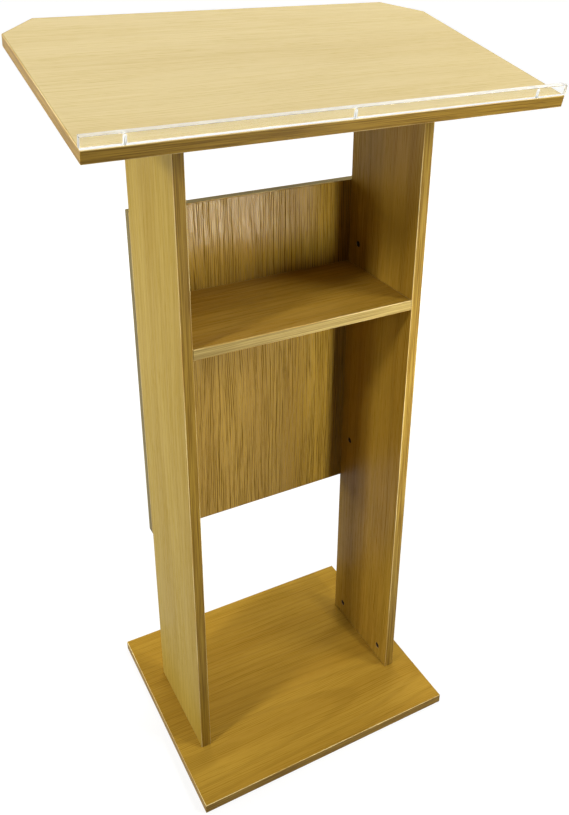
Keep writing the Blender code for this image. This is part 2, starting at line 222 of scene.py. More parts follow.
@dataclass(frozen=True)
class Speckled:
    """A finish with one pattern, which varies its colour, its gloss and its relief."""

    name: str
    kind: Kind
    size_mm: Triple
    inks: tuple[str, ...]  # one, or two that the pattern mixes
    tint: Ramp = (0.0, 1.0, 0.0, 1.0)  # from the pattern to the share of the second ink
    rough: Ramp | float = 0.5  # from the pattern to the roughness
    detail: float = 2.0
    metallic: float = 0.0
    relief: Pair = (0.0, 0.0)  # strength and depth in millimetres

    def share(self, tree: Tree, place: Socket, pattern: Socket) -> Socket:
        """Adds the share of the second ink."""
        return add_node(tree, Kind.RAMP, (pattern, *self.tint))

    def material(self) -> Material:
        """Makes the finish.

        Returns:
            The material.
        """
        material, tree, shader, place = new_material(self.name)
        sizes = tuple(size * MM for size in self.size_mm)
        pattern = add_pattern(tree, self.kind, place, sizes, Detail=self.detail)
        colour: object = linear(self.inks[0])
        if len(self.inks) == 2:
            share = self.share(tree, place, pattern)
            colour = add_node(tree, Kind.MIX, {0: share, 6: colour, 7: linear(self.inks[1])})
        rough = self.rough
        if not isinstance(rough, float):
            rough = add_node(tree, Kind.RAMP, (pattern, *rough))
        feed(shader, {"Base Color": colour, "Metallic": self.metallic, "Roughness": rough})
        strength, depth_mm = self.relief
        if strength:
            relief = {"Strength": strength, "Distance": depth_mm * MM, "Height": pattern}
            feed(shader, {"Normal": add_node(tree, Kind.BUMP, relief)})
        return material


@dataclass(frozen=True)
class Chipboard(Speckled):
    """Raw chipboard, drilled: pale and dark chips of 1 to 3 mm with a rough, fuzzy surface, in the bores."""

    name: str = "drilled_chipboard"
    kind: Kind = Kind.CELLS
    size_mm: Triple = (2.0, 2.0, 2.0)
    inks: tuple[str, ...] = ("#C9A873", "#8A6536")
    rough: Ramp | float = 0.85
    detail: float = 0.0
    relief: Pair = (0.8, 0.2)

    def share(self, tree: Tree, place: Socket, pattern: Socket) -> Socket:
        """Adds the share of the dark ink, which every chip has for itself."""
        return add_node(tree, Kind.FIRST, (pattern.node.outputs["Color"],))


@dataclass(frozen=True)
class ClearAcrylic(Speckled):
    """Cast acrylic sheet: clear as glass, with faint fine scratches along the bar."""

    name: str = "clear_cast_acrylic"
    kind: Kind = Kind.NOISE
    size_mm: Triple = (9.0, 0.5, 0.5)
    inks: tuple[str, ...] = ("#FCFDFB",)
    rough: Ramp | float = (0.55, 0.85, 0.015, 0.09)
    clearness: float = 1.0
    ior: float = 1.49

    def material(self) -> Material:
        """Makes the finish, which lets light through.

        Returns:
            The material.
        """
        material = super().material()
        shader = material.node_tree.nodes["Principled BSDF"]
        feed(shader, {"Transmission Weight": self.clearness, "IOR": self.ior})
        return material


@dataclass(frozen=True)
class SawnAcrylic(ClearAcrylic):
    """Cast acrylic where it is sawn or drilled: frosted, with fine marks of the tool."""

    name: str = "sawn_cast_acrylic"
    size_mm: Triple = (0.4, 0.4, 0.4)
    rough: Ramp | float = (0.0, 1.0, 0.3, 0.6)
    relief: Pair = (0.2, 0.05)
    clearness: float = 0.8


@dataclass(frozen=True)
class CastZinc(Speckled):
    """Die-cast zinc, drawn near black as painted shade for the shade down in the cam's bore: a dull, slightly
    sandy casting with paler worn high spots.
    """

    name: str = "die_cast_zinc"
    kind: Kind = Kind.NOISE
    size_mm: Triple = (0.35, 0.35, 0.35)
    # The near-black inks are painted shade of the bore.
    inks: tuple[str, ...] = ("#1D1A17", "#4B4640")
    tint: Ramp = (0.35, 0.75, 0.0, 1.0)
    rough: Ramp | float = (0.0, 1.0, 0.36, 0.62)
    detail: float = 3.0
    metallic: float = 0.75
    relief: Pair = (0.4, 0.05)
    worn_mm: float = 2.1

    def share(self, tree: Tree, place: Socket, pattern: Socket) -> Socket:
        """Adds the share of the worn ink, in spots much wider than the sand."""
        worn = add_pattern(tree, Kind.NOISE, place, (self.worn_mm * MM,) * 3)
        return super().share(tree, place, worn)


@dataclass(frozen=True)
class PlatedSteel(Speckled):
    """Zinc-plated steel, turned: a bright grey metal with a faint cloudy film."""

    name: str = "zinc_plated_steel"
    kind: Kind = Kind.NOISE
    size_mm: Triple = (2.5, 2.5, 2.5)
    inks: tuple[str, ...] = ("#B9BAB8", "#8E918F")
    rough: Ramp | float = (0.0, 1.0, 0.2, 0.42)
    detail: float = 4.0
    metallic: float = 1.0


@dataclass(frozen=True)
class TurnedBeech(Speckled):
    """Beech rod, fluted under pressure: pale pinkish wood with short brown ray flecks and a matt surface."""

    name: str = "fluted_beech"
    kind: Kind = Kind.CELLS
    size_mm: Triple = (0.5, 2.2, 0.5)
    inks: tuple[str, ...] = ("#D9B688", "#A97C4C")
    tint: Ramp = (0.1, 0.4, 0.8, 0.0)
    rough: Ramp | float = 0.7
    detail: float = 0.0
    relief: Pair = (0.3, 0.05)


@dataclass(frozen=True)
class OakPrint:
    """Oak-print paper under satin melamine resin, pressed on chipboard, with printed ABS edge bands.

    To the eye: straight golden grain in fine, slightly wandering lines, slow changes of tone, faint growth
    rings and short dark pores. The satin resin is pressed in and duller along the lines and pores, which
    breaks up its sheen. Lines and pores are drawn about twice as wide as real ones, so that they show from
    a few steps away. Sizes in pairs are along and across the grain.
    """

    light: str = "#AC8730"
    dark: str = "#9C7726"
    line: str = "#795917"
    pore: str = "#4B310C"
    glue: str = "#3E2B11"
    arris: tuple[str, str] = ("#E2CB8C", "#C09A4C")  # pale and deep tone of the rounded arris: a painted highlight along it
    wander_mm: float = 18.0  # how far the grain strays from straight
    drift_mm: Pair = (420.0, 90.0)  # over which it strays
    tone_mm: Pair = (900.0, 60.0)
    pitch_mm: float = 3.0  # from line to line
    uneven: float = 2.2  # how far lines stray from that pitch, in pitches
    stray_mm: Pair = (150.0, 10.0)  # over which lines draw apart
    line_mm: Pair = (110.0, 3.5)  # over which one line fades
    bunch_mm: Pair = (200.0, 40.0)  # over which lines fade together
    hair_mm: Pair = (45.0, 0.6)  # finest lines, between the others
    pore_mm: Pair = (26.0, 0.9)
    streak_mm: Pair = (95.0, 1.2)  # of an edge band
    ring_mm: float = 11.0
    ring_cone: float = 0.12  # how fast the rings narrow along the log
    rings: float = 0.2  # how strongly rings show
    line_ink: float = 0.7
    pore_ink: float = 0.4
    figure: float = 1.0  # how strongly lines and pores show
    tone_range: Pair = (0.32, 0.68)  # values over which a pattern comes in, here and in the next lines
    wave_range: Pair = (-0.8, 1.0)
    line_range: Pair = (0.28, 0.65)
    bunch_range: Pair = (0.1, 0.6)
    hair_range: Ramp = (0.45, 0.75, 0.0, 0.6)
    pore_range: Pair = (0.38, 0.14)
    ring_range: Pair = (0.4, 1.0)
    streak_range: Pair = (0.38, 0.64)
    pores_off_line: float = 0.2  # share of the pores between the lines
    line_press: float = 0.6  # depth of a line, where a pore has 1
    press_dulls: float = 0.3
    press_shades: float = 1.5
    relief: Pair = (0.5, 0.12)  # strength and depth in millimetres
    band_relief: Pair = (0.25, 0.05)
    band_dulls: float = 0.12
    band_gloss: float = 0.02
    arris_gloss: float = 0.1
    roughness: float = 0.36
    specular: float = 0.2

    def grain(self, tree: Tree, place: Socket, board: Board) -> Socket:
        """Adds a board's own millimetres, with X along the grain and Z through the board."""
        return add_node(tree, Kind.TURN, (place, board.offset_mm, board.lie.turn, (1 / MM,) * 3))

    def along(self, tree: Tree, kind: Kind, grain: Socket, size_mm: Pair, **inputs: float) -> Socket:
        """Adds a noise or cell texture that is drawn out along the grain."""
        long, wide = size_mm
        return add_pattern(tree, kind, grain, (long, wide, wide), **inputs)

    def face(self, board: Board) -> Material:
        """Makes the print on a board's two faces.

        Args:
            board: The board.

        Returns:
            The material.
        """
        material, tree, shader, place = new_material("oak_print_" + board.node)
        straight = self.grain(tree, place, board)
        drift = self.along(tree, Kind.NOISE, straight, self.drift_mm, Detail=2.0)
        grain = add_node(tree, Kind.SWAY, (drift, (0, self.wander_mm, 0), straight))
        tone = self.along(tree, Kind.NOISE, grain, self.tone_mm, Detail=3.0)
        toned = add_node(tree, Kind.EASE, (tone, *self.tone_range))
        lines = self.grain_lines(tree, grain)
        pores = self.pores(tree, grain, lines)
        colour: object = linear(self.light)
        for share, strength, ink in (
            (toned, 1.0, self.dark),
            (self.ring_lines(tree, grain), self.rings, self.line),
            (lines, self.line_ink * self.figure, self.line),
            (pores, self.pore_ink * self.figure, self.pore),
        ):
            weight = add_node(tree, Kind.TIMES, (share, strength))
            colour = add_node(tree, Kind.MIX, {0: weight, 6: colour, 7: linear(ink)})
        feed(shader, {"Base Color": colour})
        self.press(tree, shader, add_node(tree, Kind.CLAMPED_PLUS, (lines, self.line_press, pores)))
        return material

    def grain_lines(self, tree: Tree, grain: Socket) -> Socket:
        """Adds the straight grain: thin lines side by side, which fade in and out alone and in bunches.

        Args:
            tree: The material's tree.
            grain: The board's own millimetres.

        Returns:
            A socket that is 1 on a line.
        """
        stray, ink, bunch = (
            self.along(tree, Kind.NOISE, grain, size_mm, Detail=1.0)
            for size_mm in (self.stray_mm, self.line_mm, self.bunch_mm)
        )
        across = add_node(tree, Kind.SECOND, (grain,))
        strayed = add_node(tree, Kind.TIMES_PLUS, (stray, self.uneven * self.pitch_mm, across))
        angle = add_node(tree, Kind.TIMES, (strayed, 2 * math.pi / self.pitch_mm))
        wave = add_node(tree, Kind.SINE, (angle,))
        lines: object = 1.0
        for value, limits in ((wave, self.wave_range), (ink, self.line_range), (bunch, self.bunch_range)):
            lines = add_node(tree, Kind.TIMES, (add_node(tree, Kind.EASE, (value, *limits)), lines))
        hair = self.along(tree, Kind.NOISE, grain, self.hair_mm, Detail=2.0)
        fine = add_node(tree, Kind.EASE, (hair, *self.hair_range))
        return add_node(tree, Kind.MOST, (lines, fine))

    def pores(self, tree: Tree, grain: Socket, lines: Socket) -> Socket:
        """Adds the pores: short dashes, most of them on the lines.

        Args:
            tree: The material's tree.
            grain: The board's own millimetres.
            lines: 1 on a line of the grain.

        Returns:
            A socket that is 1 in a pore.
        """
        cells = self.along(tree, Kind.CELLS, grain, self.pore_mm)
        dash = add_node(tree, Kind.EASE, (cells, *self.pore_range))
        porous = add_node(tree, Kind.TIMES_PLUS, (lines, 1 - self.pores_off_line, self.pores_off_line))
        return add_node(tree, Kind.TIMES, (dash, porous))

    def ring_lines(self, tree: Tree, grain: Socket) -> Socket:
        """Adds the growth rings: long cones round the log's heart, which a board cuts as drawn-out arcs.

        Args:
            tree: The material's tree.
            grain: The board's own millimetres.

        Returns:
            A socket that is 1 in the late wood.
        """
        cone = add_node(tree, Kind.STRETCH, (grain, (self.ring_cone, 1.0, 1.0)))
        reach = add_node(tree, Kind.REACH, (cone,))
        angle = add_node(tree, Kind.TIMES, (reach, 2 * math.pi / self.ring_mm))
        return add_node(tree, Kind.EASE, (add_node(tree, Kind.COSINE, (angle,)), *self.ring_range))

    def press(self, tree: Tree, shader: Node, pressed: Socket) -> None:
        """Gives the resin its satin gloss, duller and pressed in along the lines and pores.

        Args:
            tree: The material's tree.
            shader: Its Principled shader.
            pressed: 1 where the resin is pressed in.
        """
        height = add_node(tree, Kind.TIMES, (pressed, -self.figure))
        strength, depth_mm = self.relief
        relief = {"Strength": strength, "Distance": depth_mm * MM, "Height": height}
        shine = (pressed, -self.press_shades * self.specular, self.specular)
        dull = (pressed, self.press_dulls * self.figure, self.roughness)
        inputs = {
            "Specular IOR Level": add_node(tree, Kind.CLAMPED_PLUS, shine),
            "Roughness": add_node(tree, Kind.TIMES_PLUS, dull),
            "Normal": add_node(tree, Kind.BUMP, relief),
        }
        feed(shader, inputs)

    def band(self, board: Board, highlit: bool) -> Material:
        """Makes the printed edge band, with streaks that follow every edge of the board.

        Args:
            board: The board.
            highlit: Whether this is the rounded arris, which is glossier and drawn paler as a painted
                highlight.

        Returns:
            The material.
        """
        name = ("highlit_arris_" if highlit else "edge_band_") + board.node
        material, tree, shader, place = new_material(name)
        grain = self.grain(tree, place, board)
        long, fine = self.streak_mm
        streak = add_pattern(tree, Kind.NOISE, grain, (long, long, fine), Detail=3.0, Roughness=0.6)
        share = add_node(tree, Kind.EASE, (streak, *self.streak_range))
        # The arris takes paler tones: a painted highlight along its rounding.
        pale, deep = self.arris if highlit else (self.light, self.line)
        least = self.roughness - (self.arris_gloss if highlit else self.band_gloss)
        strength, depth_mm = self.band_relief
        relief = {"Strength": strength, "Distance": depth_mm * MM, "Height": streak}
        inputs = {
            "Base Color": add_node(tree, Kind.MIX, {0: share, 6: linear(pale), 7: linear(deep)}),
            "Roughness": add_node(tree, Kind.TIMES_PLUS, (streak, self.band_dulls, least)),
            "Specular IOR Level": self.specular,
            "Normal": add_node(tree, Kind.BUMP, relief),
        }
        feed(shader, inputs)
        return material

    def glue_line(self) -> Material:
        """Makes the hairline of hot-melt glue between a face and its band."""
        inks = (self.glue, self.line)
        return Speckled("hot_melt_glue_line", Kind.NOISE, (2.0, 2.0, 2.0), inks, rough=0.55).material()


@dataclass(frozen=True)
class StudioWhite:
    """Seamless white studio paper: matt, white to the eye, and dimmer where the lectern shades it."""

    paper: str = "#8C8C8B"
    fibre_mm: float = 3.0
    rough: Ramp = (0.0, 1.0, 0.85, 1.0)  # from its fibres to its roughness
    specular: float = 0.1
    glow: float = 0.75  # what the eye sees of it beyond the light that it takes, 1 away from the lectern
    glow_rises: Pair = (0.6, 1.8)  # metres from the lectern's middle
    gloss: float = 0.4  # how bright the surroundings are in the boards' sheen

    def seen(self, tree: Tree) -> Socket:
        """Adds what the eye sees straight or through glass, and in gloss, but not by matt light.

        Args:
            tree: The tree of the paper or the surroundings.

        Returns:
            A socket that is 1 for what is seen, less in gloss, and else 0.
        """
        rays = add_node(tree, Kind.RAYS).node.outputs
        seen = add_node(tree, Kind.TIMES, (rays["Is Glossy Ray"], self.gloss))
        for ray in ("Is Camera Ray", "Is Transmission Ray"):
            seen = add_node(tree, Kind.MOST, (seen, rays[ray]))
        straight = add_node(tree, Kind.BELOW, (rays["Diffuse Depth"], 0.5))
        return add_node(tree, Kind.TIMES, (seen, straight))

    def floor(self) -> Material:
        """Makes the paper under the lectern.

        Returns:
            The material.
        """
        material, tree, shader, place = new_material("white_studio_paper")
        fibres = add_pattern(tree, Kind.NOISE, place, (self.fibre_mm * MM,) * 3)
        reach = add_node(tree, Kind.REACH, (place,))
        glow = add_node(tree, Kind.EASE, (reach, *self.glow_rises, self.glow, 1.0))
        inputs = {
            "Base Color": linear(self.paper),
            "Roughness": add_node(tree, Kind.RAMP, (fibres, *self.rough)),
            "Specular IOR Level": self.specular,
            "Emission Color": WHITE,
            "Emission Strength": add_node(tree, Kind.TIMES, (self.seen(tree), glow)),
        }
        feed(shader, inputs)
        return material

    def world(self) -> bpy.types.World:
        """Makes the white surroundings.

        Returns:
            The world.
        """
        world = bpy.data.worlds.new("white_studio")
        world.use_nodes = True
        tree = world.node_tree
        feed(tree.nodes["Background"], {"Color": WHITE, "Strength": self.seen(tree)})
        return world


def mesh_of(shape: Shape, name: str, materials: Iterable[Material]) -> Mesh:
    """Turns a bmesh into a mesh and frees it.

    Args:
        shape: The finished shape.
        name: The mesh's name.
        materials: Its materials, in the order of the faces' slots.

    Returns:
        The mesh.
    """
    mesh = bpy.data.meshes.new(name)
    shape.to_mesh(mesh)
    shape.free()
    for material in materials:
        mesh.materials.append(material)
    return mesh


def new_piece(name: str, mesh: Mesh) -> Piece:
    """Adds an object at the origin, with its place in its mesh.

    Args:
        name: The object's name.
        mesh: Its mesh.

    Returns:
        The object.
    """
    piece = bpy.data.objects.new(name, mesh)
    bpy.context.scene.collection.objects.link(piece)
    return piece


def seat(piece: Piece, node: str, body: str) -> None:
    """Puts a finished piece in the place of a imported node.

    Args:
        piece: The piece.
        node: The node that it stands for.
        body: The body that it rides on.
    """
    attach(piece, body)
    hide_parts(node)
    log.info("%s: %d faces for %s on %s", piece.name, len(piece.data.polygons), node, body)


def axes(origin: Vector, x_axis: Vector, z_axis: Vector) -> Matrix:
    """Gives the matrix that brings a local origin to a place and turns local X and Z to two ways."""
    turn = Matrix((x_axis, z_axis.cross(x_axis), z_axis)).transposed()
    return Matrix.Translation(origin) @ turn.to_4x4()


def box_shape(low: Iterable[float], high: Iterable[float]) -> Shape:
    """Starts a box.

    Args:
        low: Its lowest corner.
        high: Its highest corner.

    Returns:
        The box.
    """
    low, high = Vector(low), Vector(high)
    shape = bmesh.new()
    place = Matrix.Translation((low + high) / 2) @ Matrix.Diagonal((*(high - low), 1))
    bmesh.ops.create_cube(shape, size=1, matrix=place)
    return shape


def rod_shape(radius: float, length: float, place: Matrix, sides: int = ROUND) -> Shape:
    """Starts a rod about its own Z.

    Args:
        radius: Its radius.
        length: Its length.
        place: Where its middle goes, and how it turns.
        sides: Facets round it.

    Returns:
        The rod, smooth where it is round.
    """
    shape = bmesh.new()
    bmesh.ops.create_cone(
        shape, cap_ends=True, segments=sides, radius1=radius, radius2=radius, depth=length, matrix=place
    )
    for face in shape.faces:
        face.smooth = sides == ROUND and len(face.verts) == 4
    return shape


def turned_shape(profile: list[Pair], steps: int = ROUND) -> Shape:
    """Turns a profile about Z into a closed shape.

    Args:
        profile: Points as radius and height, from the axis at one end to the axis at the other.
        steps: Facets round the axis.

    Returns:
        The shape, with its faces pointing out.
    """
    shape = bmesh.new()
    points = [shape.verts.new((radius, 0, height)) for radius, height in profile]
    for start, end in zip(points, points[1:]):
        shape.edges.new((start, end))
    bmesh.ops.spin(
        shape,
        geom=shape.verts[:] + shape.edges[:],
        cent=(0, 0, 0),
        axis=(0, 0, 1),
        angle=2 * math.pi,
        steps=steps,
        use_merge=True,
    )
    bmesh.ops.remove_doubles(shape, verts=shape.verts[:], dist=0.001 * MM)
    bmesh.ops.recalc_face_normals(shape, faces=shape.faces[:])
    for face in shape.faces:
        face.smooth = True
    return shape


def bevel(shape: Shape, edges: list[bmesh.types.BMEdge], width: float, steps: int) -> None:
    """Bevels edges, and smooths what is rounded.

    Args:
        shape: The shape.
        edges: Its edges that are bevelled.
        width: Width of the bevel.
        steps: Facets across it, or 1 for a flat cut.
    """
    result = bmesh.ops.bevel(
        shape,
        geom=edges,
        offset=width,
        offset_type="OFFSET",
        segments=steps,
        profile=0.5,
        affect="EDGES",
        material=-1,
    )
    for face in result["faces"]:
        face.smooth = steps > 1


@dataclass(frozen=True)
class Thread:
    """A screw thread, which is turned as a plain rod and then pressed in."""

    radius: float  # of its crest
    core: float  # radius of its root
    pitch: float
    steps: int  # from point to point along it
    sides: int  # facets round it

    def rod(self, low: float, high: float) -> list[Pair]:
        """Lists the points of the plain rod's profile from one height to another."""
        step = (high - low) / self.steps
        return [(self.radius, low + number * step) for number in range(self.steps + 1)]

    def press(self, shape: Shape, low: float, high: float) -> None:
        """Presses the thread into a turned shape, by moving its points in and out along a helix.

        Args:
            shape: The turned shape, about Z.
            low: Height where the thread starts.
            high: Height where it ends.
        """
        for point in shape.verts:
            radius = point.co.xy.length
            if not low <= point.co.z <= high or radius < self.core:
                continue
            phase = (point.co.z / self.pitch - math.atan2(point.co.y, point.co.x) / (2 * math.pi)) % 1
            ends = min(point.co.z - low, high - point.co.z) / (self.pitch / 2)
            rise = abs(2 * phase - 1) * min(1, max(0, ends))
            point.co.xy *= (self.core + (self.radius - self.core) * rise) / radius


def cross_cutters(length: float, width: float, depth: float, top: float) -> list[Shape]:
    """Makes the two tapered blades of a cross recess.

    Args:
        length: Length of a blade at the face.
        width: Its width at the face.
        depth: Its depth below the face.
        top: Height of the face.

    Returns:
        The two blades about Z, which stand a little out of the face.
    """
    foot_length, foot_width, overcut = 0.62, 0.75, MM / 5
    blades = []
    for turn in (0, math.pi / 2):
        low, high = (-length / 2, -width / 2, top - depth), (length / 2, width / 2, top + overcut)
        blade = box_shape(low, high)
        for point in blade.verts:
            if point.co.z < top:
                point.co.x *= foot_length
                point.co.y *= foot_width
        matrix = Matrix.Rotation(turn, 3, "Z")
        bmesh.ops.rotate(blade, verts=blade.verts[:], cent=(0, 0, 0), matrix=matrix)
        blades.append(blade)
    return blades


def cut(piece: Piece, cutters: Iterable[Mesh]) -> None:
    """Cuts closed meshes out of a piece. The cut faces keep the cutters' materials.

    Args:
        piece: The piece to cut.
        cutters: The meshes, in the piece's own frame.
    """
    holder = bpy.data.collections.new("cutters")
    bpy.context.scene.collection.children.link(holder)
    for number, mesh in enumerate(cutters):
        holder.objects.link(bpy.data.objects.new(f"cutter_{number}", mesh))
    boolean = piece.modifiers.new("cut", "BOOLEAN")
    boolean.operand_type = "COLLECTION"
    boolean.collection = holder
    boolean.material_mode = "TRANSFER"
    bpy.context.view_layer.update()
    graph = bpy.context.evaluated_depsgraph_get()
    result = bpy.data.meshes.new_from_object(piece.evaluated_get(graph))
    piece.modifiers.clear()
    blank = piece.data
    name = blank.name
    piece.data = result
    bpy.data.meshes.remove(blank)
    result.name = name
    for cutter in list(holder.objects):
        bpy.data.objects.remove(cutter)
    bpy.data.collections.remove(holder)


@dataclass(frozen=True)
class Bore:
    """A round hole between two points."""

    start: Vector
    end: Vector
    radius: float

    @property
    def length(self) -> float:
        """How long the hole is."""
        return (self.end - self.start).length

    def aim(self, point: Vector) -> Matrix:
        """Gives the matrix that turns Z along the hole and moves the origin to a point."""
        turn = Vector((0, 0, 1)).rotation_difference(self.end - self.start)
        return Matrix.Translation(point) @ turn.to_matrix().to_4x4()

    def mesh(self, lining: Material) -> Mesh:
        """Makes the rod that cuts the hole, with the material that the hole takes on."""
        rod = rod_shape(self.radius, self.length, self.aim((self.start + self.end) / 2))
        return mesh_of(rod, "bore", [lining])


@dataclass(frozen=True)
class SunkBore(Bore):
    """A hole that widens at its end, by a cone and a short straight mouth, for a countersunk head."""

    mouth_radius: float
    mouth_depth: float
    cone_depth: float

    def mesh(self, lining: Material) -> Mesh:
        """Turns the drill that cuts the hole.

        Args:
            lining: Its material, which the hole takes on.

        Returns:
            The drill, in its place.
        """
        mouth = self.length - self.mouth_depth
        profile = [
            (0, 0),
            (self.radius, 0),
            (self.radius, mouth - self.cone_depth),
            (self.mouth_radius, mouth),
            (self.mouth_radius, self.length),
            (0, self.length),
        ]
        drill = turned_shape(profile)
        bmesh.ops.transform(drill, verts=drill.verts[:], matrix=self.aim(self.start))
        return mesh_of(drill, "sunk_bore", [lining])


Bores = dict[str, list[Bore]]  # by the board's node


@dataclass
class Board:
    """A chipboard board with oak print faces, edge bands on every edge, and the bores of its fittings."""

    node: str
    lie: Lie
    offset_mm: Triple  # where in the log it was cut
    face_print: OakPrint = OakPrint()
    edge_print: OakPrint = OakPrint()
    thickness: float = 15 * MM
    arris: float = 0.8 * MM
    arris_steps: int = 3
    band_shows: float = 0.3 * MM  # flat strip of band beside the arris, on the face
    glue_shows: float = 0.12 * MM

    def blank(self) -> Shape:
        """Starts the sharp-edged board from its packed box."""
        return box_shape(*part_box(self.node))

    def place(self) -> Matrix:
        """Gives the matrix from the blank's frame to the lectern's."""
        return Matrix.Identity(4)

    def band_edges(self, shape: Shape) -> None:
        """Rounds every arris, and marks the bands, the arrises and the glue lines by their slots.

        Args:
            shape: The sharp-edged board, in its blank frame.
        """
        through = self.place().to_3x3().transposed() @ self.lie.through
        bevel(shape, shape.edges[:], self.arris, self.arris_steps)
        wide = []
        for face in shape.faces:
            slant = abs(face.normal.dot(through))
            face.material_index = (Slot.BAND if slant < 1 - SQUARE else Slot.ARRIS).value
            if slant > SQUARE:
                face.material_index = Slot.FACE.value
                wide.append(face)
        for width, slot in ((self.band_shows, Slot.BAND), (self.glue_shows, Slot.GLUE)):
            inset = bmesh.ops.inset_individual(shape, faces=wide, thickness=width, use_even_offset=True)
            for face in inset["faces"]:
                face.material_index = slot.value

    def build(self, lining: Material, bores: list[Bore]) -> None:
        """Builds the board, drills it, dresses it and seats it.

        Args:
            lining: The raw board inside the bores.
            bores: The holes of its fittings, in the lectern's frame.
        """
        shape = self.blank()
        self.band_edges(shape)
        bmesh.ops.transform(shape, verts=shape.verts[:], matrix=self.place())
        materials = [
            self.face_print.face(self),
            self.edge_print.band(self, highlit=False),
            self.edge_print.band(self, highlit=True),
            self.edge_print.glue_line(),
        ]
        piece = new_piece("oak_" + self.node, mesh_of(shape, self.node + "_mesh", materials))
        cut(piece, [bore.mesh(lining) for bore in bores])
        seat(piece, self.node, LECTERN)


@dataclass
class Upright(Board):
    """A standing board, with its upper end cut to the slope."""

    def blank(self) -> Shape:
        """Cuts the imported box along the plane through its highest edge.

        Returns:
            The sharp-edged board.
        """
        low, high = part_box(self.node)
        shape = box_shape(low, high + Vector((0, 0, OVERCUT)))
        geometry = shape.verts[:] + shape.edges[:] + shape.faces[:]
        bmesh.ops.bisect_plane(shape, geom=geometry, plane_co=high, plane_no=OFF_SLOPE, clear_outer=True)
        bmesh.ops.holes_fill(shape, edges=[edge for edge in shape.edges if edge.is_boundary], sides=0)
        bmesh.ops.recalc_face_normals(shape, faces=shape.faces[:])
        return shape


@dataclass
class ReadingTop(Board):
    """The sloping board, with its two far corners cut off."""

    corner: float = 47 * MM

    def place(self) -> Matrix:
        """Gives the matrix from the slope's own frame, with Y up the slope from the near edge.

        Returns:
            The matrix, with its origin in the middle of the reading face's near edge.
        """
        low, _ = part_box(self.node)
        origin = Vector((0, low.y, low.z + self.thickness * math.cos(SLOPE)))
        return axes(origin, Vector((1, 0, 0)), Vector(OFF_SLOPE))

    def blank(self) -> Shape:
        """Starts the board flat, with its far corners cut by a bevel.

        Returns:
            The sharp-edged board.
        """
        low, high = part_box(self.node)
        depth = (high.y - low.y - self.thickness * math.sin(SLOPE)) / math.cos(SLOPE)
        shape = box_shape((low.x, 0, -self.thickness), (high.x, depth, 0))
        corners = []
        for edge in shape.edges:
            first, second = (point.co for point in edge.verts)
            if abs(first.z - second.z) > self.thickness / 2 and first.y > depth / 2:
                corners.append(edge)
        bevel(shape, corners, self.corner, 1)
        return shape


